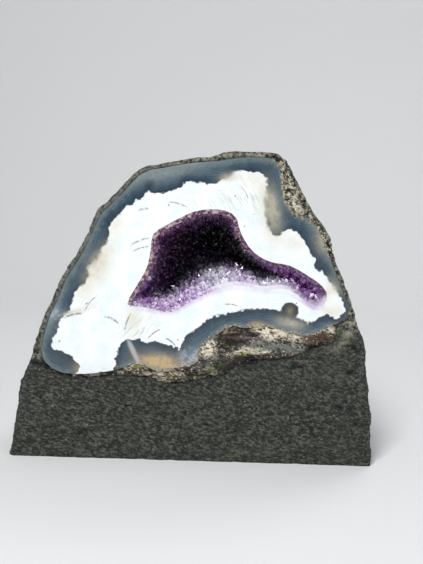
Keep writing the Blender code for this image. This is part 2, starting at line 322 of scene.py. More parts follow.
def new_piece(name, mesh, node):
    """An object of this mesh that stands for a CAD node."""
    piece = linked(name, mesh)
    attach(piece, "root")
    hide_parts(node)
    print(name, "has", sum(len(p.vertices) - 2 for p in mesh.polygons), "triangles")


def cad_copy(node):
    """A copy of a CAD node as one joined mesh."""
    bm = bmesh.new()
    bm.from_mesh(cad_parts[node].data)
    bmesh.ops.remove_doubles(bm, verts=bm.verts, dist=1e-3 * MM)
    bm.normal_update()
    return bm


def remeshed(node, voxel):
    """A CAD node's shape as an even mesh of small squares."""
    bm = cad_copy(node)
    mesh = bpy.data.meshes.new(node + "_even")
    bm.to_mesh(mesh)
    bm.free()
    obj = linked(mesh.name, mesh)
    modifier = obj.modifiers.new("even", "REMESH")
    modifier.mode = "VOXEL"
    modifier.voxel_size = voxel
    return evaluated(obj)


def store(mesh, name, values):
    """Keeps one number for each vertex."""
    attribute = mesh.attributes.new(name, "FLOAT", "POINT")
    attribute.data.foreach_set("value", np.asarray(values, np.float32))


# %% What the growing trees share
def stored(geometry, name, value):
    """The geometry with one more number for each of its points."""
    inputs = {"Geometry": geometry, "Name": name, "Value": value}
    settings = {"data_type": "FLOAT", "domain": "POINT"}
    return put(tree_of(geometry), "GeometryNodeStoreNamedAttribute", inputs, **settings).outputs[0]


def attribute_in(tree, name):
    """A stored number, as a Geometry Nodes tree reads it."""
    return put(tree, "GeometryNodeInputNamedAttribute", {"Name": name}, data_type="FLOAT").outputs[0]


def random_value(tree, kind, low, high, seed):
    """A random number or vector for each point."""
    node = put(tree, "FunctionNodeRandomValue", data_type=kind)
    plain = [s for s in node.inputs if s.enabled]
    plain[0].default_value = low
    plain[1].default_value = high
    node.inputs["Seed"].default_value = seed
    return [s for s in node.outputs if s.enabled][0]


def scattered(tree, given, chosen):
    """Points on the chosen faces, no closer than the tree's Spacing."""
    return put(tree, "GeometryNodeDistributePointsOnFaces", {
        "Mesh": given["Geometry"], "Selection": chosen, "Distance Min": given["Spacing"],
        "Density Max": 4.0e6, "Seed": given["Seed"],
    }, distribute_method="POISSON").outputs


def joined(tree, *geometries):
    """Several geometries as one."""
    both = put(tree, "GeometryNodeJoinGeometry")
    for geometry in geometries:
        tree.links.new(geometry, both.inputs[0])
    return both.outputs[0]


def end_tree(tree, result, *geometries):
    """Joins the geometries, passes them through a Set Material node that names no material, and ends the
    tree.
    """
    dressed = put(tree, "GeometryNodeSetMaterial", {"Geometry": joined(tree, *geometries)})
    tree.links.new(dressed.outputs[0], result[0])
    print(tree.name, "tree with", len(tree.nodes), "nodes")
    return tree


# %% [markdown]
# ## Specks and fine lines, effects that several minerals share
#
# Basalt, agate and the crusts all carry tiny specks: dark pits and grains, and on the basalt and the crusts
# pale painted glints.
# A Voronoi pattern gives each cell its own random colour, and the few cells whose value
# passes a limit become specks. It is one group, with the grain size and the share as inputs.
# A second group draws one thin line, for the basalt's cracks and the agate's scratches.


# %% The speckle group
def make_speckle_group():
    """Grains of one size on a few random cells of a wobbly net."""
    inputs = {"Place": "Vector", "Grain": 0.0005, "Share": 0.05}
    tree, given, result = new_group("ShaderNodeTree", "speckle", inputs, ("Mask", "Float"))
    place, grain, share = given["Place"], given["Grain"], given["Share"]
    scale = maths("DIVIDE", 1.0, grain)
    wobble = put(tree, "ShaderNodeTexNoise", {"Vector": place, "Scale": times(scale, 1.6)})
    inputs = {0: wobble.outputs["Color"], "Scale": times(grain, 1.1)}
    offset = put(tree, "ShaderNodeVectorMath", inputs, operation="SCALE").outputs[0]
    wobbly = put(tree, "ShaderNodeVectorMath", {0: place, 1: offset}, operation="ADD").outputs[0]
    cells = put(tree, "ShaderNodeTexVoronoi", {"Vector": wobbly, "Scale": scale})
    chance = put(tree, "ShaderNodeSeparateColor", {0: cells.outputs["Color"]}).outputs[0]
    core = spread(cells.outputs["Distance"], 0.35, 0.55, 1.0, 0.0)
    tree.links.new(times(maths("LESS_THAN", chance, share), core), result["Mask"])
    return tree


speckle_group = make_speckle_group()


def speckles(place, grain, share):
    """The mask of scattered specks."""
    inputs = {"Place": place, "Grain": grain, "Share": share}
    return put_group(speckle_group, inputs)


# %% The scratch group
def make_scratch_group():
    """A thin, slightly bent line on the face, from where it lies, how long and how tilted it is."""
    inputs = {"Place": "Vector", "Centre": "Vector", "Tilt": 0.0, "Length": 1.0, "Width": 1.0}
    tree, given, result = new_group("ShaderNodeTree", "scratch", inputs, ("Mask", "Float"))
    inputs = {0: given["Place"], 1: given["Centre"]}
    away = put(tree, "ShaderNodeVectorMath", inputs, operation="SUBTRACT").outputs[0]
    inputs = {"Vector": away, "Angle": given["Tilt"]}
    level = put(tree, "ShaderNodeVectorRotate", inputs, rotation_type="Y_AXIS").outputs[0]
    across, _, up = parts_of(level)
    along = maths("ABSOLUTE", maths("DIVIDE", across, given["Length"]))
    bend = times(times(along, along), given["Length"])
    aside = plus(up, times(bend, 0.3))
    worn = noise_at(given["Place"], 0.9 * MM, 2.0)
    aside = maths("DIVIDE", maths("ABSOLUTE", aside), given["Width"])
    line = times(spread(aside, 0.35, 1.0, 1.0, 0.0), spread(along, 0.30, 0.50, 1.0, 0.0))
    tree.links.new(times(line, spread(worn, 0.36, 0.52, 0.15, 1.0)), result["Mask"])
    return tree


scratch_group = make_scratch_group()


def line_masks(place, lines):
    """The masks of many lines together. Each is its centre, tilt, length and width,
    in millimetres and degrees."""
    total = None
    for (x, z), tilt, length, width in lines:
        mask = put_group(scratch_group, {
            "Place": place, "Centre": (x * MM, FACE_Y, z * MM), "Tilt": math.radians(tilt),
            "Length": length * MM, "Width": width * MM,
        })
        total = mask if total is None else maths("MAXIMUM", total, mask)
    return total


print("speckle and scratch groups ready")


# %% [markdown]
# ## Where a spot lies on the face
#
# Bands follow an outline, and stains lie in patches. So each vertex stores how far it is inside
# an outline, or how near the middle of some soft ovals, and the materials read those numbers.


# %% Outlines, soft ovals and the flat front
def curve_through(points, per_side=8):
    """A closed smooth curve through these points, as an array."""
    p1 = np.array(points, float)
    p0 = np.roll(p1, 1, axis=0)
    p2 = np.roll(p1, -1, axis=0)
    p3 = np.roll(p1, -2, axis=0)
    shares = np.arange(per_side) / per_side
    t = shares[None, :, None]
    p0, p1, p2, p3 = (p[:, None, :] for p in (p0, p1, p2, p3))
    bend = 2 * p0 - 5 * p1 + 4 * p2 - p3
    twist = 3 * p1 - 3 * p2 + p3 - p0
    return (0.5 * (2 * p1 + (p2 - p0) * t + bend * t**2 + twist * t**3)).reshape(-1, 2)


def signed_distance(spots, loop):
    """How far each spot lies inside a closed outline. Outside it is negative."""
    nearest = np.full(len(spots), np.inf)
    inside = np.zeros(len(spots), bool)
    for a, b in zip(loop, np.roll(loop, -1, axis=0)):
        edge = b - a
        share = np.clip((spots - a) @ edge / max(edge @ edge, 1e-18), 0, 1)
        nearest = np.minimum(nearest, np.linalg.norm(spots - a - share[:, None] * edge, axis=1))
        crosses = (a[1] > spots[:, 1]) != (b[1] > spots[:, 1])
        height = edge[1] if edge[1] else 1e-18
        inside ^= crosses & (spots[:, 0] < a[0] + (spots[:, 1] - a[1]) * edge[0] / height)
    return np.where(inside, nearest, -nearest)


def glow(spots, centre, size, tilt=0.0):
    """1 at a centre, in millimetres, and fading to 0 over an oval of this size."""
    away = spots / MM - np.array(centre)
    cos, sin = math.cos(math.radians(tilt)), math.sin(math.radians(tilt))
    along = (away[:, 0] * cos + away[:, 1] * sin) / size[0]
    aside = (away[:, 1] * cos - away[:, 0] * sin) / size[1]
    return np.exp(-(along**2 + aside**2))


def patches(spots, *ovals):
    """The sum of soft ovals. Each is its strength, centre, size and tilt, in millimetres and degrees."""
    return sum(strength * glow(spots, centre, size, tilt) for strength, centre, size, tilt in ovals)


def border_loops(bm):
    """The closed lines along which a mesh is open, longest first, each as its vertices in order."""
    following = {}
    for face in bm.faces:
        for corner in face.loops:
            if len(corner.edge.link_faces) == 1:
                following[corner.link_loop_next.vert] = corner.vert
    loops = []
    while following:
        loop = [next(iter(following))]
        onward = following.pop(loop[0])
        while onward is not loop[0]:
            loop.append(onward)
            onward = following.pop(onward)
        loops.append(loop)
    return sorted(loops, key=len, reverse=True)


def across_and_up(verts):
    """Where vertices lie on the face, as an array."""
    return np.array([(v.co.x, v.co.z) for v in verts])


def in_the_face(face):
    """Whether a triangle is part of the flat polished face."""
    return face.normal.y < -0.999 and face.calc_center_median().y < FACE_Y + 0.01 * MM


def front_of(node):
    """The flat front of a CAD node alone, as an open mesh."""
    bm = cad_copy(node)
    behind = [f for f in bm.faces if not in_the_face(f)]
    bmesh.ops.delete(bm, geom=behind, context="FACES")
    return bm


# %% [markdown]
# ## The basalt
#
# The host rock is fine-grained and nearly black. Its front below the agate is dressed to a
# finely rippled face, its bottom is sawn flat, and its back is the rough outside of the nodule.
# The even mesh of the CAD solid is pushed along its normals by noise in a Geometry Nodes tree:
# large lumps and small pits on the back, and low waves stretched sideways on the front.

# %% Rock relief as a Geometry Nodes tree
def make_relief_tree():
    """Pushes a rock's surface out and in. What faces down at the bottom stays flat."""
    tree, given, result = new_tree("rock_relief", {
        "Swell": 0.0, "Wave Height": 0.001, "Wave Size": 0.002, "Lump Height": 0.001, "Lump Size": 0.01,
    })
    place = put(tree, "GeometryNodeInputPosition").outputs[0]
    normal = put(tree, "GeometryNodeInputNormal").outputs[0]
    sideways, _, upwards = parts_of(normal)
    _, deep, high = parts_of(place)
    # The base's ends are knapped like the back, so that their outline is scalloped.
    on_back = spread(deep, FACE_Y + 0.5 * MM, FACE_Y + 12 * MM, smooth=True)
    on_end = times(spread(maths("ABSOLUTE", sideways), 0.3, 0.9), spread(high, 0.030, 0.036, 0.7, 0.0))
    rugged = maths("MAXIMUM", on_back, on_end)
    free = maths("MAXIMUM", spread(upwards, -0.95, -0.6), spread(high, 0.0006, 0.002))

    waves = noise_at(stretched(place, 0.42), given["Wave Size"], 3.0, 0.6, Distortion=0.6)
    wave = times(spread(waves, 0.25, 0.75, -0.5, 0.5), given["Wave Height"])
    lumps = noise_at(place, given["Lump Size"], 5.0, 0.62)
    lump = times(spread(lumps, 0.25, 0.75, -0.6, 0.4), given["Lump Height"])
    inputs = {"Vector": place, "Scale": maths("DIVIDE", 2.6, given["Lump Size"])}
    cells = put(tree, "ShaderNodeTexVoronoi", inputs).outputs["Distance"]
    pit = times(spread(cells, 0.12, 0.3, -0.35, 0.0), given["Lump Height"])
    relief = plus(wave, times(plus(lump, pit), rugged))
    push = times(plus(relief, given["Swell"]), free)
    move = put(tree, "ShaderNodeVectorMath", {0: normal, "Scale": push}, operation="SCALE").outputs[0]
    moved = put(tree, "GeometryNodeSetPosition", {"Geometry": given["Geometry"], "Offset": move})
    tree.links.new(stored(moved.outputs[0], "relief", relief), result[0])
    return tree


relief_tree = make_relief_tree()
print("rock relief tree with", len(relief_tree.nodes), "nodes")

# %% Cracks and chips in the basalt's front
BASALT_CRACKS = [
    ((-47, 29.6), -20, 9.0, 0.9), ((-50.5, 33.5), 5, 5.0, 0.8), ((49.5, 30.2), 8, 4.0, 0.9),
    ((46, 19), -10, 3.5, 0.7), ((32, 31.4), 15, 4.5, 0.9), ((-34.5, 8.6), 40, 3.5, 1.0),
    ((17.5, 32.2), 20, 8.0, 0.9), ((48.5, 38.2), -12, 6.0, 0.9), ((-20, 17.5), 10, 3.0, 0.5),
    ((5, 12), -15, 3.5, 0.5), ((51.8, 13.5), -45, 3.0, 0.6),
]


# %% Basalt's look
def make_basalt_material():
    material, tree, shader, place = new_material("basalt")
    relief, skin, beside, bloom = (
        read_attribute(tree, name) for name in ("relief", "skin", "beside", "bloom"))
    across, deep, _ = parts_of(place)
    in_front = spread(deep, FACE_Y + 1 * MM, FACE_Y + 3 * MM, 1.0, 0.0)
    cloud = noise_at(place, 12 * MM, 4.0)
    grain = noise_at(place, 0.42 * MM, 2.0, 0.7)
    fleck = noise_at(place, 1.1 * MM, 4.0, 0.7)
    calm = spread(noise_at(place, 7 * MM, 2.0), 0.35, 0.65, 0.7, 1.0)
    # The dressed front is rippled sideways, and the natural back is pocked all over.
    ripple_front = noise_at(stretched(turned(place, -10), 0.5), 0.62 * MM, 4.0, 0.68, Distortion=0.3)
    ripple_back = noise_at(place, 1.6 * MM, 4.0, 0.7)
    ripple = plus(times(ripple_front, in_front), times(ripple_back, maths("SUBTRACT", 1.0, in_front)))

    # Ripples and grains first: each ripple's trough gets painted shade and its crest a painted highlight.
    # Then raised spots are paler and hollows darker.
    colour = blend(spread(cloud, 0.35, 0.65), paint(64, 67, 59), paint(77, 80, 72))
    colour = coated(
        colour,
        (times(spread(ripple, 0.38, 0.50, 1.0, 0.0), calm), (18, 20, 16)),
        (times(spread(ripple, 0.51, 0.62), calm), (136, 140, 128)),
        (spread(grain, 0.60, 0.72, 0.0, 0.6), (140, 144, 132)),
        (spread(grain, 0.28, 0.40, 0.7, 0.0), (24, 26, 22)),
        (spread(relief, 0.05 * MM, 0.45 * MM, 0.0, 0.25), (122, 126, 116)),
        (spread(relief, -0.5 * MM, -0.05 * MM, 0.5, 0.0), (30, 32, 28)),
    )
    # The skin round the agate is weathered grey, tan and cream, with a pale seam at the left.
    seam = spread(plus(beside, spread(fleck, 0.35, 0.65, 1.0, -1.0)), 0.7, 1.7, 0.9, 0.0)
    seam = times(times(skin, seam), spread(across, -14 * MM, -2 * MM, 1.0, 0.15))
    colour = coated(
        colour,
        (times(skin, 0.8), (112, 114, 102)),
        (times(skin, spread(fleck, 0.50, 0.58)), (206, 200, 176)),
        (at_most(0.85, times(bloom, spread(fleck, 0.40, 0.55, 0.2, 1.0))), (216, 212, 190)),
        (times(skin, spread(fleck, 0.40, 0.47, 1.0, 0.0)), (26, 25, 21)),
        (seam, (146, 153, 146)),
    )
    cracks = times(line_masks(place, BASALT_CRACKS), in_front)
    # The pale specks are painted glints.
    pale = times(speckles(place, 0.6 * MM, 0.008), 0.7)
    colour = coated(colour, (cracks, (10, 10, 9)), (pale, (190, 194, 182)))
    height = maths("SUBTRACT", plus(ripple, times(grain, 0.15)), cracks)
    finish_surface(shader, colour, spread(grain, 0.3, 0.8, 0.95, 0.7), height, 3.6 * MM)
    return material


basalt_material = make_basalt_material()
print("basalt with", len(BASALT_CRACKS), "cracks and chips")


# %% Build the basalt
ROCK_VOXEL = 0.68 * MM
FRONT_WAVE = 0.75 * MM
BACK_LUMP = 1.5 * MM
FLAT_BELOW = 0.35 * MM


def keep_flat_bottom(mesh):
    """Puts all that reached below the sawn bottom, or just above it, back onto it.
    Returns where the vertices are then."""
    places = np.empty(len(mesh.vertices) * 3, np.float32)
    mesh.vertices.foreach_get("co", places)
    places = places.reshape(-1, 3)
    places[places[:, 2] < FLAT_BELOW, 2] = 0.0
    mesh.vertices.foreach_set("co", places.ravel())
    mesh.update()
    return places


basalt_mesh = grown_by(
    relief_tree, remeshed("basalt_matrix", ROCK_VOXEL), "basalt_matrix_rock", basalt_material,
    swell=0.16 * MM, wave_height=FRONT_WAVE, wave_size=2.6 * MM, lump_height=BACK_LUMP, lump_size=9 * MM,
)
rock_places = keep_flat_bottom(basalt_mesh)
rock_spots = rock_places[:, ::2]
across, deep, high = rock_places.T
agate_front = front_of("agate_shell")
agate_edge = across_and_up(border_loops(agate_front)[0])
agate_front.free()
store(basalt_mesh, "beside", -signed_distance(rock_spots.astype(float), agate_edge) / MM)
near_face = np.clip(1 - (deep - FACE_Y - 1.0 * MM) / (3.0 * MM), 0, 1)
beside_agate = np.clip((high - 41 * MM) / (4 * MM), 0, 1)
left_rim = np.clip((-44 * MM - across) / (3 * MM), 0, 1) * (high > 31 * MM)
store(basalt_mesh, "skin", near_face * np.maximum(beside_agate, left_rim))
# Pale mineral bloom in a few spots of the skin.
store(basalt_mesh, "bloom", near_face * patches(
    rock_spots,
    (1.2, (-40.5, 59.5), (1.4, 3.0), -25), (0.8, (-34.5, 68), (1.0, 3.0), -25),
    (1.0, (-30.5, 80.5), (1.5, 1.5), 0), (1.0, (-20, 90), (2.5, 1.2), 30),
    (0.9, (2, 94.8), (3.0, 0.8), 0), (1.1, (18, 96.2), (3.0, 1.0), 0),
    (0.8, (8, 96), (2.0, 0.8), 0), (0.7, (46.5, 39.5), (1.6, 1.4), 0),
    (0.6, (-46.5, 47), (1.0, 2.5), -20), (0.9, (48, 42.5), (1.6, 1.2), 0),
    (0.6, (44, 37.5), (1.8, 0.8), 20),
))
basalt_mesh.shade_smooth()
new_piece("basalt_matrix_rock", basalt_mesh, "basalt_matrix")

# %% [markdown]
# ## The agate
#
# The polished face shows how the agate grew: first a slate blue rim along the rock, with lines
# as fine as hair, then a thick white band whose outer edge is scalloped and feathered.
# A pattern that follows a given line is easiest from a distance. The face gets a dense mesh,
# each vertex stores how far it lies inside the white band, from the rim and from the hollow,
# and the material turns those distances into bands, with noise for the fine scallops.

# %% The white band's outer edge on the face, in millimetres across and up
WHITE_EDGE = [
    (-44.5, 35.5), (-42.5, 40.5), (-41.5, 44), (-39, 47.5), (-37, 52.5), (-33, 57.5), (-33.5, 60),
    (-30.5, 63), (-29, 67), (-26.5, 70.5), (-26.5, 74), (-22.5, 79), (-18, 82), (-16, 83.5), (-15, 86),
    (-13.5, 84), (-7.5, 85), (-3, 88), (1, 87.5), (6.5, 88), (10.5, 91), (14.5, 91.5), (19.5, 91),
    (21, 88), (21, 81.5), (21.5, 76), (24, 72), (29, 74), (31.5, 72.5), (34.5, 68), (36.5, 65), (37, 62.5),
    (40.5, 60), (43.5, 55.5), (46, 52), (47, 49), (44.5, 47), (41, 48), (36.5, 45.5), (33, 46),
    (27, 48.5), (19, 49), (12, 47.5), (6, 46), (0.5, 42), (-3, 38.5), (-4, 35.5), (-6.5, 36.5),
    (-13, 37.5), (-21, 38), (-23.5, 33.5), (-24.5, 29.5), (-25, 25), (-35.5, 25), (-36, 29.5),
    (-38.5, 32.5), (-41.5, 34),
]


# %% A dense polished face
FACE_PITCH = 0.55 * MM


def net_inside(outer, inner, pitch):
    """Evenly spaced spots between two outlines."""
    low, high = outer.min(axis=0), outer.max(axis=0)
    row_height = pitch * math.sqrt(3) / 2
    rows, columns = (np.ceil((high - low) / (row_height, pitch)[::-1])).astype(int)[::-1] + 1
    grid = np.array([
        (low[0] + pitch * (column + 0.5 * (row % 2)), low[1] + row_height * row)
        for row in range(rows) for column in range(columns)
    ])
    margin = 0.4 * pitch
    keep = (signed_distance(grid, outer) > margin) & (signed_distance(grid, inner) < -margin)
    return grid[keep]


def widened(line, amount):
    """An outline moved outwards."""
    along = np.roll(line, -1, axis=0) - np.roll(line, 1, axis=0)
    aside = np.stack([along[:, 1], -along[:, 0]], axis=1)
    aside /= np.linalg.norm(aside, axis=1, keepdims=True)
    inwards = signed_distance(line[:1] + 0.1 * MM * aside[:1], line)[0] > 0
    return line + aside * (-amount if inwards else amount)


def densify_face(bm):
    """Replaces a CAD solid's flat front with an even net of small triangles."""
    flat = [f for f in bm.faces if in_the_face(f)]
    bmesh.ops.delete(bm, geom=flat, context="FACES")
    open_edges = [e for e in bm.edges if len(e.link_faces) == 1]
    bmesh.ops.subdivide_edges(bm, edges=open_edges, cuts=4)
    outer, inner = border_loops(bm)
    outer_line, inner_line = across_and_up(outer), across_and_up(inner)
    net = net_inside(outer_line, inner_line, FACE_PITCH)
    spots = np.vstack([outer_line, inner_line, net])
    sides = [(i, (i + 1) % len(outer)) for i in range(len(outer))]
    sides += [(len(outer) + i, len(outer) + (i + 1) % len(inner)) for i in range(len(inner))]
    found = geometry.delaunay_2d_cdt([Vector(p) for p in spots], sides, [], 1, 1e-9)
    _, _, triangles, origins, _, _ = found
    corners = np.array([[min(origins[i]) for i in triangle] for triangle in triangles])
    middles = spots[corners].mean(axis=1)
    keep = (signed_distance(middles, outer_line) > 0) & (signed_distance(middles, inner_line) < 0)
    verts = outer + inner + [bm.verts.new((x, FACE_Y, z)) for x, z in net]
    made = [bm.faces.new([verts[i] for i in triangle]) for triangle in corners[keep]]
    bmesh.ops.recalc_face_normals(bm, faces=bm.faces)
    for vert, (x, z) in zip(outer, widened(outer_line, 0.2 * MM)):
        vert.co.x, vert.co.z = x, z
    return inner_line, outer_line, made


agate_bm = cad_copy("agate_shell")
hollow_line, rim_line, face_triangles = densify_face(agate_bm)
print("polished face:", len(face_triangles), "triangles")


# %% Agate's map for baked pictures
def lay_out(bm, made):
    """A UV map that gives the polished face most of the room, with the unseen walls below it."""
    faces = set(made)
    uv = bm.loops.layers.uv.new("OFBake")
    low, high = rim_line.min(axis=0), rim_line.max(axis=0)
    size = max(high - low)
    for face in bm.faces:
        if face in faces:
            share, origin, flip = 0.96, (0.02, 0.28), 1
        elif face.normal.y < 0:
            share, origin, flip = 0.24, (0.02, 0.02), 1
        else:
            share, origin, flip = 0.24, (0.60, 0.02), -1
        for corner in face.loops:
            x = (corner.vert.co.x - low[0]) / size
            z = (corner.vert.co.z - low[1]) / size
            x = x if flip > 0 else 1 - x
            corner[uv].uv = (origin[0] + x * share, origin[1] + z * share)


agate_bm.normal_update()
lay_out(agate_bm, face_triangles)
agate_mesh = bpy.data.meshes.new("agate_polished")
agate_bm.to_mesh(agate_mesh)
agate_bm.free()

# %% Distances and tints for each vertex
agate_spots = across_and_up(agate_mesh.vertices)
white_line = curve_through(WHITE_EDGE) * MM
in_white = signed_distance(agate_spots, white_line)
from_hollow = -signed_distance(agate_spots, hollow_line)
from_rim = signed_distance(agate_spots, rim_line)

# A round growth interrupts the white band on the right.
EYE_CENTRE, EYE_RADIUS = (29.6, 48.8), 2.6
eye = EYE_RADIUS * MM - np.linalg.norm(agate_spots - np.array(EYE_CENTRE) * MM, axis=1)
in_white = np.minimum(in_white, -eye)


# Each tint of the face, as the soft ovals where it lies.
AGATE_TINTS = {
    "cream": (
        (0.9, (-30.5, 62), (4.5, 8.0), -20), (0.6, (-25, 75), (3.0, 5.0), 0),
        (0.5, (-35, 53.5), (3.0, 3.0), 0), (0.5, (17, 88.5), (4.0, 3.0), 0), (0.8, (22, 78), (3.0, 8.0), 8),
        (0.6, (30.5, 70.5), (5.0, 2.5), -10), (0.9, (41, 55), (3.0, 2.0), 45),
        (0.9, (42.5, 49), (4.0, 2.0), 0), (0.9, (-19, 44.5), (2.5, 3.5), 0),
    ),
    "tan": (
        (1.3, (22.6, 80.5), (2.6, 7.0), 13), (1.0, (-30.5, 61.5), (2.6, 6.0), -28),
        (1.0, (9.5, 89.5), (3.0, 1.4), 10), (0.8, (43, 57), (1.2, 3.0), 30),
        (1.3, (-37.5, 46.2), (3.6, 0.8), 16), (1.0, (30, 44.8), (4.5, 1.8), -10),
        (0.8, (39, 70.5), (2.0, 3.0), 20), (0.9, (-12.5, 93.4), (2.2, 0.9), 12),
        (0.5, (-3, 93.5), (2.0, 0.6), 0),
    ),
    "honey": (
        (1.5, (-10.5, 31.2), (6.0, 2.4), -6), (0.9, (19.5, 43.8), (2.2, 1.2), 0),
        (0.2, (38, 69.5), (2.0, 3.4), 20), (0.7, (-35, 28.3), (2.2, 2.4), 50),
        (0.4, EYE_CENTRE, (1.0, 1.3), 0),
    ),
    "frost": (
        (1.2, (-0.8, 33.2), (3.2, 3.6), -35), (1.0, (-43, 45.5), (2.8, 2.2), 20),
        (0.3, (-43, 39), (2.4, 4.0), 10),
    ),
    "pale": (
        (1.0, (-12, 90.5), (16.0, 3.2), 12), (0.9, (-34.5, 77.5), (2.6, 14.0), -38),
        (0.8, (-43.5, 59), (1.8, 11.0), -28), (0.7, (32, 88), (4.0, 3.0), 0),
        (0.3, (35.5, 75), (2.0, 3.0), 25),
    ),
    "vein": ((2.2, (-18.7, 34.4), (3.6, 0.55), -64),),
    "dusk": ((1.6, EYE_CENTRE, (2.9, 2.9), 0), (0.8, (-40.5, 31.5), (3.0, 2.2), 0)),
    "lilac": (
        (1.0, (-14, 47.5), (6.0, 1.8), 5), (1.0, (-4, 49.2), (6.0, 1.8), 22),
        (0.9, (5, 53), (6.0, 1.6), 20), (0.6, (15, 54.5), (6.0, 1.4), 0),
        (0.8, (27, 53), (6.0, 1.7), -8), (1.0, (34, 49.8), (3.5, 1.8), -35),
        (2.4, (36.6, 50), (3.2, 2.2), -45),
    ),
    "striped": ((1.0, (15, 84), (6.0, 6.0), 0), (0.5, (5, 82), (10.0, 3.0), 0)),
    "hatched": ((1.1, (-18, 42.5), (4.0, 4.0), 0), (0.4, (-33.5, 49.5), (3.0, 3.0), 0)),
}
store(agate_mesh, "white", in_white / MM)
store(agate_mesh, "hollow", from_hollow / MM)
store(agate_mesh, "rim", from_rim / MM)
for name, ovals in AGATE_TINTS.items():
    store(agate_mesh, name, patches(agate_spots, *ovals))
print("white band covers", round(100 * float((in_white > 0).mean())), "% of the face's vertices")


# Each scratch: its centre in millimetres, its tilt in degrees, its length and its width in millimetres.
SCRATCHES = [
    ((-17.6, 69.2), 24, 7.0, 0.34), ((-17, 67), 19, 6.0, 0.26), ((-16.5, 79), 12, 3.5, 0.45),
    ((-6, 81), -14, 7.0, 0.25), ((-32.5, 49.5), 52, 7.5, 0.20), ((-21, 43.5), 74, 7.0, 0.32),
    ((-25.5, 44.5), -25, 5.5, 0.50), ((12, 50.2), -8, 6.0, 0.28), ((16.5, 48.9), 4, 7.0, 0.26),
    ((14.5, 85), -58, 5.0, 0.20), ((-7, 38), -36, 4.5, 0.35), ((-12.5, 40.5), 38, 6.0, 0.30),
    ((-37.5, 45.6), 14, 7.0, 0.40), ((-2, 74.8), 20, 5.0, 0.22), ((8, 47), 6, 5.0, 0.24),
]


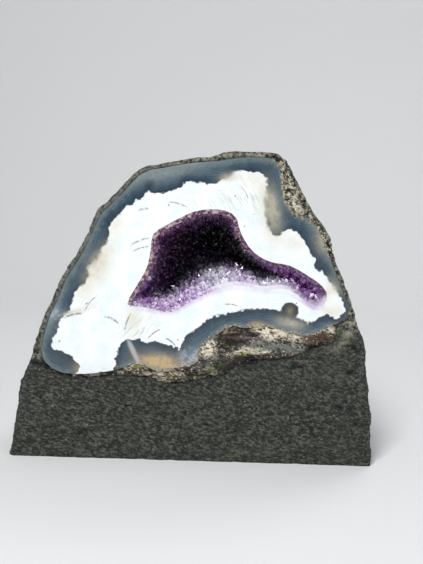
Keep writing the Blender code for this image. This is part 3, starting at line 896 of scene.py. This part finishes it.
# %% Agate's look
def make_agate_material():
    material, tree, shader, place = new_material("agate")
    white, hollow, rim = (read_attribute(tree, name) for name in ("white", "hollow", "rim"))
    tint = {name: read_attribute(tree, name) for name in AGATE_TINTS}
    across, _, up = parts_of(place)
    broad = noise_at(place, 5.0 * MM, 3.0)
    middle = noise_at(place, 1.6 * MM, 3.0, 0.6)
    fine = noise_at(place, 0.45 * MM, 2.0, 0.6)

    def tinted(colour, name, tone, most, low=0.3, high=0.6, least=0.5):
        """Blends in a tone where its patch is, broken up by noise."""
        share = times(tint[name], spread(middle, low, high, least, 1.0))
        return coated(colour, (at_most(most, share), tone))

    # The white band's edge is pushed in and out by noise of three sizes, but not near the round growth.
    scallop = noise_at(place, 2.2 * MM, 1.0, 0.5)
    wander = plus(spread(scallop, 0.3, 0.7, -0.4, 0.4), spread(middle, 0.3, 0.7, -0.32, 0.32))
    wander = plus(wander, spread(fine, 0.3, 0.7, -0.13, 0.13))
    edge = plus(white, times(wander, maths("SUBTRACT", 1.0, at_most(0.8, tint["dusk"]))))
    # Where the edge is tan, slate and white melt into each other.
    softness = plus(1.0, times(tint["tan"], 5.0))
    is_white = spread(maths("DIVIDE", edge, softness), -0.15, 0.25, smooth=True)

    # Slate blue chalcedony: fine lines along the rim, dark beside the white, paler outwards.
    lined = plus(rim, spread(broad, 0.3, 0.7, -0.7, 0.7))
    lines = times(maths("SINE", times(lined, 8.5)), spread(middle, 0.35, 0.6, 0.1, 0.9))
    slate = blend(spread(lines, -1.0, 1.0), paint(46, 68, 86), paint(79, 102, 115))
    slate = coated(slate, (spread(broad, 0.40, 0.66, 0.0, 0.7), (48, 68, 80)))
    slate = tinted(slate, "pale", (134, 146, 146), 0.85)
    outermost = plus(rim, spread(middle, 0.3, 0.7, -0.7, 0.7))
    slate = coated(
        slate,
        (spread(outermost, 0.2, 1.8, 0.45, 0.0), (130, 141, 136)),
        (spread(edge, -2.6, -0.1, 0.0, 0.85), (30, 47, 62)),
    )
    slate = tinted(slate, "frost", (162, 174, 184), 0.9, 0.42, 0.6, 0.3)
    slate = tinted(slate, "dusk", (54, 60, 62), 0.9)
    slate = tinted(slate, "honey", (198, 172, 130), 0.9)
    slate = tinted(slate, "vein", (182, 178, 176), 0.9, 0.2, 0.4, 0.8)
    slate = tinted(slate, "tan", (176, 172, 155), 0.95, 0.35, 0.6, 0.6)

    # White: nearly flat, with cool shadows in it, faint growth lines, stripes and cream patches.
    milk = blend(spread(broad, 0.35, 0.65), paint(250, 251, 251), paint(236, 246, 248))
    growth = maths("SINE", times(plus(hollow, middle), 5.2))
    growth = times(spread(growth, 0.65, 1.0), spread(broad, 0.48, 0.64, 0.0, 0.22))
    milk = coated(milk, (growth, (196, 208, 212)))
    for label, lean, tone in (("striped", -55, (170, 176, 172)), ("hatched", 48, (140, 136, 122))):
        stripes = noise_at(stretched(turned(place, lean), 0.12), 0.55 * MM, 2.0)
        milk = coated(milk, (times(tint[label], spread(stripes, 0.52, 0.66, 0.0, 0.55)), tone))
    milk = tinted(milk, "cream", (228, 224, 206), 0.85)
    milk = tinted(milk, "tan", (214, 208, 190), 0.7)
    # Beside the druse's floor the amethyst stains it lilac.
    violet = times(tint["lilac"], spread(hollow, 0.1, 1.8, 0.7, 0.0))
    violet = times(violet, spread(middle, 0.3, 0.65, 0.4, 1.0))
    milk = coated(milk, (at_most(0.8, violet), (186, 148, 204)))

    # Where the agate meets the crusts its edge is broken and holds their crumbs.
    low = times(spread(up, 43 * MM, 46 * MM, 1.0, 0.0), spread(across, -26 * MM, -20 * MM))
    upper_right = times(spread(across, 21 * MM, 24 * MM), spread(up, 64 * MM, 67 * MM))
    ragged = plus(rim, spread(middle, 0.3, 0.7, 1.3, -1.1))
    crumbs = times(spread(ragged, 0.2, 0.7, 0.9, 0.0), maths("MAXIMUM", low, upper_right))
    crumb_tone = blend(spread(fine, 0.42, 0.56), paint(52, 46, 40), paint(186, 174, 148))
    slate = blend(crumbs, slate, crumb_tone)

    near_edge = spread(maths("ABSOLUTE", edge), 0.0, 0.22, 0.30, 0.0)
    pits = speckles(place, 0.65 * MM, 0.004)
    scratched = line_masks(place, SCRATCHES)
    colour = coated(
        blend(is_white, slate, milk),
        (maths("DIVIDE", near_edge, softness), (70, 84, 92)),
        (times(pits, 0.8), (92, 86, 92)),
        (times(scratched, 0.8), (112, 120, 122)),
    )
    height = maths("SUBTRACT", times(fine, 0.2), plus(pits, scratched))
    finish_surface(shader, colour, spread(middle, 0.3, 0.7, 0.14, 0.26), height, 0.10 * MM, 0.5)
    return material


agate_mesh.materials.append(make_agate_material())
new_piece("agate_polished", agate_mesh, "agate_shell")

# %% [markdown]
# ## The amethyst druse
#
# The hollow is lined with thousands of six-sided quartz points that grew side by side.
# One crystal is a short six-sided column with a six-sided tip. A Geometry Nodes tree scatters it
# over the lining, turned to the surface's normal with a random lean, and sizes it at random.
# Each crystal keeps a random tint and how far along it a point lies, so that its foot is
# deep violet and its tip is pale: painted shade at the foot and painted light at the tip,
# in place of light passing through the quartz.

# %% The druse as a Geometry Nodes tree
def make_crystal(tree):
    """A closed six-sided column with a six-sided tip, one unit high."""
    column_height, width = 0.45, 0.42
    column = put(tree, "GeometryNodeMeshCone", {
        "Vertices": 6, "Radius Top": width * 0.94, "Radius Bottom": width, "Depth": column_height,
    }, fill_type="NGON").outputs["Mesh"]
    tip = put(tree, "GeometryNodeMeshCone", {
        "Vertices": 6, "Radius Top": 0.0, "Radius Bottom": width * 0.94, "Depth": 1 - column_height,
    }, fill_type="NONE").outputs["Mesh"]
    inputs = {"Geometry": tip, "Translation": (0.05, 0.03, column_height)}
    raised = put(tree, "GeometryNodeTransform", inputs).outputs[0]
    height = parts_of(put(tree, "GeometryNodeInputPosition").outputs[0])[2]
    return stored(joined(tree, column, raised), "along", height)


def make_druse_tree():
    """Grows crystals where the mesh's 'grow' attribute is set, and keeps the mesh below them.
    What stands out in front of the sawn face is pressed nearly flat behind it, and marked as cut."""
    tree, given, result = new_tree("druse", {
        "Spacing": 0.001, "Shortest": 0.001, "Longest": 0.002, "Lean": 0.4, "Sawn At": 0.0, "Seed": 1,
    })
    points = scattered(tree, given, maths("GREATER_THAN", attribute_in(tree, "grow"), 0.5))
    marked = stored(points["Points"], "tint", random_value(tree, "FLOAT", 0.0, 1.0, 11))
    most = {0: given["Lean"], 1: given["Lean"], 2: 2 * math.pi}
    inputs = {
        0: random_value(tree, "FLOAT_VECTOR", (-1, -1, 0), (1, 1, 1), 23),
        1: put(tree, "ShaderNodeCombineXYZ", most).outputs[0],
    }
    lean = put(tree, "ShaderNodeVectorMath", inputs, operation="MULTIPLY").outputs[0]
    leaning = put(tree, "FunctionNodeRotateRotation", {
        "Rotation": points["Rotation"],
        "Rotate By": put(tree, "FunctionNodeEulerToRotation", {0: lean}).outputs[0],
    }, rotation_space="LOCAL")
    chance = maths("POWER", random_value(tree, "FLOAT", 0.0, 1.0, 37), 2.2)
    instances = put(tree, "GeometryNodeInstanceOnPoints", {
        "Points": marked, "Instance": make_crystal(tree), "Rotation": leaning.outputs[0],
        "Scale": spread(chance, 0.0, 1.0, given["Shortest"], given["Longest"]),
    })
    real = put(tree, "GeometryNodeRealizeInstances", {"Geometry": instances.outputs[0]}).outputs[0]
    # Each crystal stops at a slightly different depth, so that no two cut faces share a plane.
    across, deep, up = parts_of(put(tree, "GeometryNodeInputPosition").outputs[0])
    plane = plus(given["Sawn At"], times(attribute_in(tree, "tint"), 0.35 * MM))
    stub = times(at_most(0.0, maths("SUBTRACT", deep, plane)), 0.02)
    pressed = plus(maths("MAXIMUM", deep, plane), stub)
    cut = stored(real, "cut", times(maths("LESS_THAN", deep, plane), 0.35))
    onto_plane = put(tree, "ShaderNodeCombineXYZ", {0: across, 1: pressed, 2: up}).outputs[0]
    inputs = {"Geometry": cut, "Position": onto_plane}
    sawn = put(tree, "GeometryNodeSetPosition", inputs).outputs[0]
    return end_tree(tree, result, sawn, given["Geometry"])


druse_tree = make_druse_tree()


# %% Amethyst's look
def make_amethyst_material():
    material, tree, shader, place = new_material("amethyst")
    along, tint, lift, deep, cut, haze, shadow, violet = (read_attribute(tree, name) for name in (
        "along", "tint", "lift", "deep", "cut", "haze", "shadow", "violet",
    ))
    across = parts_of(place)[0]
    on_floor = maths("MAXIMUM", spread(lift, 0.10, 0.60), spread(haze, 0.25, 0.7))

    # A ceiling in painted shade, nearly black wine red, then violet sides, then a lilac floor coloured as
    # lit, with pale tips.
    ceiling = blend(tint, paint(62, 24, 70), paint(102, 54, 110))
    foot = blend(tint, paint(112, 72, 140), paint(164, 124, 190))
    tip = blend(tint, paint(184, 148, 208), paint(248, 240, 252))
    hazy = blend(tint, paint(150, 146, 172), paint(246, 246, 252))
    rich = blend(tint, paint(74, 26, 94), paint(168, 112, 186))
    # dusk is painted shade that deepens towards the back of the hollow, weaker where the floor is hazy.
    dusk = maths("SUBTRACT", spread(deep, 0.26, 0.60), times(haze, 0.5), clamp=True)
    # Painted shadow, nearly black, on deep faces that look down and in the shadow patches.
    painted_shadow = times(spread(deep, 0.15, 0.7), spread(lift, 0.25, 0.65, 1.0, 0.0))
    painted_shadow = at_most(0.98, plus(times(painted_shadow, 0.35), shadow))
    # A few crystals on the floor, but not deep in the hollow, get a painted glint, nearly white.
    clear = times(times(spread(tint, 0.86, 0.9), on_floor), maths("SUBTRACT", 1.0, dusk))

    # Painted shade at each crystal's foot and painted light at its tip.
    floor = blend(spread(along, 0.15, 0.9), foot, tip)
    floor = blend(at_most(0.85, haze), floor, hazy)
    floor = coated(floor, (times(dusk, 0.94), (30, 22, 46)))
    colour = blend(at_most(0.9, violet), blend(on_floor, ceiling, floor), rich)
    colour = coated(colour, (painted_shadow, (5, 2, 8)), (clear, (252, 250, 255)))

    # The sawn edge: wine and pink flecks at the sides and ceiling, lilac and white at the floor.
    fleck = spread(noise_at(place, 0.9 * MM, 3.0, 0.7), 0.46, 0.60)
    purple_edge = blend(fleck, paint(66, 32, 76), paint(126, 92, 134))
    side_edge = blend(fleck, paint(82, 52, 76), paint(198, 170, 176))
    side_edge = blend(spread(across, 12 * MM, 17 * MM, 0.0, 0.85), side_edge, purple_edge)
    floor_edge = blend(fleck, paint(148, 108, 168), paint(230, 220, 238))
    floor_edge = coated(floor_edge, (at_most(0.9, haze), (238, 232, 244)))
    edge = blend(on_floor, side_edge, floor_edge)
    edge = blend(at_most(0.85, violet), edge, purple_edge)
    colour = blend(cut, colour, edge)
    shader.inputs["IOR"].default_value = 1.55
    fine = noise_at(place, 0.5 * MM, 2.0)
    finish_surface(shader, colour, spread(tint, 0.0, 1.0, 0.10, 0.30), fine, 0.05 * MM, 0.4)
    return material


# %% The bed the crystals grow on
SEAM = 0.28 * MM
CHAMBER_DEPTH = 27 * MM


def walls_of(bm, sawn):
    """The faces behind the sawn edge as two connected sets: those of the hollow, then the outer ones."""
    left = {f for f in bm.faces if f not in sawn}
    walls = []
    while left:
        found, front = set(), [left.pop()]
        while front:
            face = front.pop()
            found.add(face)
            near = {n for e in face.edges for n in e.link_faces} & left
            left -= near
            front.extend(near)
        walls.append(found)
    return sorted(walls, key=lambda wall: sum(f.normal.y * f.calc_area() for f in wall))


def druse_bed():
    """The CAD lining with marks: where crystals grow, the sawn edge, how far each spot faces up,
    and its depth. Its outer edge is widened to meet the agate."""
    bm = cad_copy("amethyst_druse")
    grow, cut, lift, deep = (bm.verts.layers.float.new(name) for name in ("grow", "cut", "lift", "deep"))
    sawn = {f for f in bm.faces if in_the_face(f)}
    hollow, outer = walls_of(bm, sawn)
    for vert in bm.verts:
        faces = set(vert.link_faces)
        in_hollow, in_outer = faces & hollow, faces & outer
        outwards = sum((f.normal for f in in_outer), Vector())
        facing = sum((f.normal for f in in_hollow), Vector()) - outwards
        vert[grow] = 1.0 if in_hollow else 0.0
        vert[cut] = 1.0 if faces & sawn else 0.0
        vert[lift] = facing.normalized().z
        vert[deep] = (vert.co.y - FACE_Y) / CHAMBER_DEPTH
        if in_outer and faces & sawn:
            outwards.y = 0
            vert.co += outwards.normalized() * SEAM
    mesh = bpy.data.meshes.new("druse_bed")
    bm.to_mesh(mesh)
    bm.free()
    return mesh


# %% Grow the druse
amethyst_mesh = grown_by(
    druse_tree, druse_bed(), "amethyst_crystals", make_amethyst_material(),
    spacing=0.54 * MM, shortest=0.8 * MM, longest=1.9 * MM, lean=0.5, sawn_at=FACE_Y + 0.08 * MM, seed=4,
)
# Each tint of the druse, and its patches of painted shadow, as the soft ovals where it lies.
DRUSE_TINTS = {
    "haze": (
        (1.2, (6.5, 57.5), (5.5, 2.8), 0), (1.7, (24.5, 55), (5.4, 2.8), -12),
        (0.6, (15, 56), (6.0, 1.8), 0), (1.2, (31.5, 51.2), (4.4, 1.6), -38),
        (1.0, (36, 49.4), (3.0, 1.2), -25), (1.3, (39.8, 51.6), (2.6, 1.8), 50),
        (0.8, (-14, 57.5), (0.8, 1.8), 25), (0.6, (-17.5, 54), (0.8, 0.8), 0),
    ),
    "shadow": (
        (1.3, (14.5, 66), (9.0, 4.0), -38), (0.7, (5, 68), (9.0, 4.5), 0), (0.3, (-7, 62), (8.0, 6.0), 0),
    ),
    "violet": (
        (1.2, (34.8, 55.2), (5.4, 2.6), -40), (1.0, (29.5, 60), (7.5, 2.0), -25),
        (0.6, (19, 66.5), (9.0, 2.4), -50), (1.0, (-15, 52.5), (3.6, 4.0), 20),
    ),
}
druse_spots = across_and_up(amethyst_mesh.vertices)
for name, ovals in DRUSE_TINTS.items():
    store(amethyst_mesh, name, patches(druse_spots, *ovals))
new_piece("amethyst_crystals", amethyst_mesh, "amethyst_druse")

# %% [markdown]
# ## The two crusts
#
# Where the agate meets the rock, soft crumbly minerals grew: cream zeolite, tan clay, green
# celadonite and red-brown iron oxide, with dark holes between them. Each crust is an even mesh
# of its CAD solid with the same relief as the rock, and angular grains scattered over its front.

# %% Grains as a Geometry Nodes tree
def make_grain_tree():
    """Scatters angular grains over the front of a crust in clusters, and keeps the crust below them."""
    tree, given, result = new_tree("grains", {
        "Spacing": 0.001, "Smallest": 0.0003, "Largest": 0.001, "Cluster": 0.003, "Bare": 0.45, "Seed": 1,
    })
    facing = parts_of(put(tree, "GeometryNodeInputNormal").outputs[0])[1]
    clusters = noise_at(put(tree, "GeometryNodeInputPosition").outputs[0], given["Cluster"], 2.0, 0.5)
    in_front = maths("LESS_THAN", facing, -0.3)
    points = scattered(tree, given, times(in_front, maths("GREATER_THAN", clusters, given["Bare"])))
    marked = stored(points["Points"], "tint", random_value(tree, "FLOAT", 0.0, 1.0, 5))
    lengths = random_value(tree, "FLOAT_VECTOR", (0.5, 0.5, 0.35), (1.0, 1.0, 0.8), 8)
    chance = maths("POWER", random_value(tree, "FLOAT", 0.0, 1.0, 9), 2.0)
    inputs = {0: lengths, "Scale": spread(chance, 0.0, 1.0, given["Smallest"], given["Largest"])}
    turn = random_value(tree, "FLOAT_VECTOR", (0, 0, 0), (math.pi, math.pi, math.pi), 10)
    instances = put(tree, "GeometryNodeInstanceOnPoints", {
        "Points": marked,
        "Instance": put(tree, "GeometryNodeMeshIcoSphere", {"Radius": 1.0, "Subdivisions": 1}).outputs[0],
        "Scale": put(tree, "ShaderNodeVectorMath", inputs, operation="SCALE").outputs[0],
        "Rotation": put(tree, "FunctionNodeEulerToRotation", {0: turn}).outputs[0],
    })
    real = put(tree, "GeometryNodeRealizeInstances", {"Geometry": instances.outputs[0]}).outputs[0]
    return end_tree(tree, result, real, given["Geometry"])


grain_tree = make_grain_tree()


# %% The crusts' look
HOLE_TONE = (22, 19, 15)


def make_crust_material(name, rock, tints, patch_size, stretch):
    """Rock tones first, then the tint of each patch broken up by noise and grains, then painted shade in
    the holes and crevices.
    """
    material, tree, shader, place = new_material(name)
    tint, relief, crevice_shade = (read_attribute(tree, name) for name in ("tint", "relief", "crevice_shade"))
    sideways = stretched(turned(place, -18), stretch)
    patch = spread(noise_at(sideways, patch_size, 3.0, 0.6), 0.3, 0.7, 0.2, 0.8)
    fine = noise_at(sideways, 0.6 * MM, 2.0, 0.65)
    value = plus(patch, spread(fine, 0.3, 0.7, -0.24, 0.24))
    value = plus(value, spread(tint, 0.0, 1.0, -0.10, 0.16))
    low, middle, high = rock
    colour = blend(spread(value, 0.34, 0.48), paint(*low), paint(*middle))
    colour = coated(colour, (spread(value, 0.50, 0.66), high))
    for label, (tone, _) in tints.items():
        share = times(read_attribute(tree, label), spread(value, 0.30, 0.50, 0.35, 1.2))
        colour = coated(colour, (at_most(0.94, share), tone))
    # Painted shade in the holes: where the relief sinks, and where the noise is darkest.
    hollow = spread(relief, -0.50 * MM, -0.15 * MM, 0.9, 0.0)
    hole_shade = maths("MAXIMUM", hollow, spread(value, 0.17, 0.27, 0.95, 0.0))
    colour = coated(
        colour,
        (times(spread(tint, 0.80, 0.9), 0.6), (222, 214, 196)),
        (hole_shade, HOLE_TONE),
        # Pale specks: painted glints.
        (times(speckles(place, 0.6 * MM, 0.05), 0.75), (232, 226, 210)),
        (times(speckles(sideways, 0.8 * MM, 0.10), 0.8), HOLE_TONE),
        # Painted shade in the crevices.
        (at_most(0.95, crevice_shade), HOLE_TONE),
    )
    finish_surface(shader, colour, spread(fine, 0.3, 0.7, 0.9, 0.55), value, 0.9 * MM, 0.9)
    return material


# %% Build both crusts
def build_crust(name, node, slot, material, tints, crevice_shades, lump_height, lump_size, **grains):
    """A crust's body with relief and grains, and its patches stored for each vertex."""
    body = grown_by(
        relief_tree, remeshed(node, 0.4 * MM), name + "_body", material, swell=0.35 * MM,
        wave_height=lump_height, wave_size=lump_size, lump_height=lump_height, lump_size=lump_size,
    )
    mesh = grown_by(grain_tree, body, name, material, **grains)
    spots = across_and_up(mesh.vertices)
    for label, (_, ovals) in tints.items():
        store(mesh, label, patches(spots, *ovals))
    store(mesh, "crevice_shade", patches(spots, *crevice_shades))
    new_piece(name, mesh, node)


# Each tint of the crust between agate and base: its tone, then the soft ovals where it lies.
CONTACT_TINTS = {
    "grey": ((120, 126, 120), (
        (1.0, (23, 38), (7.0, 2.0), 12), (1.0, (29.5, 37.5), (6.0, 2.5), 8),
        (0.8, (38, 36.5), (6.0, 1.5), 12), (0.7, (14, 36.5), (5.0, 1.2), 12),
        (0.8, (4.5, 32.5), (4.0, 2.0), 20),
    )),
    "cream": ((246, 236, 212), (
        (1.7, (5, 36.2), (3.2, 2.2), 25), (1.7, (26, 41.2), (5.5, 1.8), -12),
        (1.5, (22.8, 43.2), (2.2, 1.5), 0), (1.1, (15, 35.6), (4.0, 0.9), 22),
        (1.1, (21, 35.4), (2.6, 0.9), 0), (1.0, (42, 43.8), (1.8, 1.4), 0),
        (1.3, (-19.6, 30.5), (1.2, 0.5), 0), (1.3, (-13.8, 30.4), (1.6, 0.6), 0),
        (0.7, (-0.5, 27.2), (3.5, 1.4), 0), (0.6, (-10, 27.2), (4.0, 0.8), 0),
        (0.6, (-24, 25.8), (5.0, 0.7), 10), (0.7, (31, 41), (2.5, 1.0), -20),
    )),
    "yellow": ((176, 170, 96), (
        (1.0, (15, 34.2), (2.5, 0.7), 30), (1.0, (45, 39.6), (2.2, 1.5), 0),
        (0.7, (-42.5, 27.6), (1.6, 0.9), 0), (0.6, (0.5, 26.6), (2.0, 0.8), 0),
        (0.5, (11, 37), (2.0, 0.8), 0), (1.0, (-17.4, 29.6), (1.1, 0.6), 0),
        (0.8, (-7, 27.4), (1.6, 0.7), 0),
    )),
    "moss": ((62, 76, 36), (
        (0.9, (8.5, 30.2), (3.2, 1.4), 15), (0.7, (4, 28.4), (2.0, 0.8), 0),
        (0.5, (13, 38.5), (2.5, 0.8), 10),
    )),
    "rust": ((96, 62, 50), (
        (1.0, (36, 40.2), (2.6, 1.2), 10), (1.1, (40.3, 41), (1.8, 1.6), 40),
        (0.9, (12.5, 40.2), (4.5, 1.4), 0), (0.8, (20.5, 33), (3.5, 0.8), 0),
        (0.5, (30, 35), (3.0, 0.8), 10), (0.6, (22, 44.2), (1.5, 0.6), 0),
    )),
    "pink": ((196, 168, 170), (
        (0.9, (-36.5, 26.9), (4.0, 0.9), 0), (0.6, (40.5, 43.2), (1.4, 0.8), 0),
        (0.6, (17, 40), (2.5, 0.8), 0), (0.5, (-16, 26.6), (3.0, 0.7), 10),
    )),
}
# Where painted shade darkens the contact crust's crevices, as soft ovals.
CONTACT_CREVICE_SHADES = (
    (2.2, (12.3, 31.4), (3.6, 0.9), 40), (1.8, (17, 33.2), (3.2, 0.6), 0),
    (1.2, (13, 40.8), (3.6, 0.7), 8), (1.0, (46, 41.8), (1.6, 1.2), 0),
    (1.6, (-17.2, 30.9), (1.6, 0.5), -15), (0.9, (-5, 28.6), (1.4, 0.4), 10),
    (0.9, (3, 30), (1.6, 0.5), 25), (0.9, (-31.5, 26), (6.0, 0.35), 6), (0.7, (12, 38.9), (1.6, 0.6), 20),
    (0.7, (7.5, 39.2), (1.0, 0.7), 0), (0.7, (37.5, 38.6), (2.2, 0.5), 20),
)
CONTACT_ROCK = ((42, 38, 31), (100, 91, 76), (190, 180, 158))
build_crust(
    "contact_crust_grains", "contact_crust", "contact_minerals",
    make_crust_material("contact_minerals", CONTACT_ROCK, CONTACT_TINTS, patch_size=3.2 * MM, stretch=0.6),
    CONTACT_TINTS, CONTACT_CREVICE_SHADES, lump_height=1.7 * MM, lump_size=2.8 * MM,
    spacing=0.75 * MM, smallest=0.15 * MM, largest=0.55 * MM, cluster=4.0 * MM, bare=0.5, seed=2,
)

# The speckled patch on the upper right rim.
RIM_TINTS = {
    "cream": ((236, 230, 208), (
        (1.3, (30.2, 80.5), (2.4, 3.4), 15), (0.7, (33, 75), (2.0, 2.0), 0), (0.5, (28, 88), (1.5, 3.0), 0),
        (0.6, (27, 93.5), (4.0, 1.2), 0), (0.5, (36, 72), (2.0, 2.0), 0),
    )),
}
# Where painted shade darkens the rim crust's crevices.
RIM_CREVICE_SHADES = ((0.6, (32.5, 81), (1.0, 4.0), 20), (0.5, (38.5, 70), (0.8, 4.0), 25))
RIM_ROCK = ((30, 28, 24), (122, 116, 98), (222, 214, 190))
build_crust(
    "rim_crust_grains", "rim_crust", "rim_minerals",
    make_crust_material("rim_minerals", RIM_ROCK, RIM_TINTS, patch_size=1.3 * MM, stretch=0.9),
    RIM_TINTS, RIM_CREVICE_SHADES, lump_height=1.0 * MM, lump_size=1.6 * MM,
    spacing=0.6 * MM, smallest=0.2 * MM, largest=0.55 * MM, cluster=2.0 * MM, bare=0.42, seed=3,
)
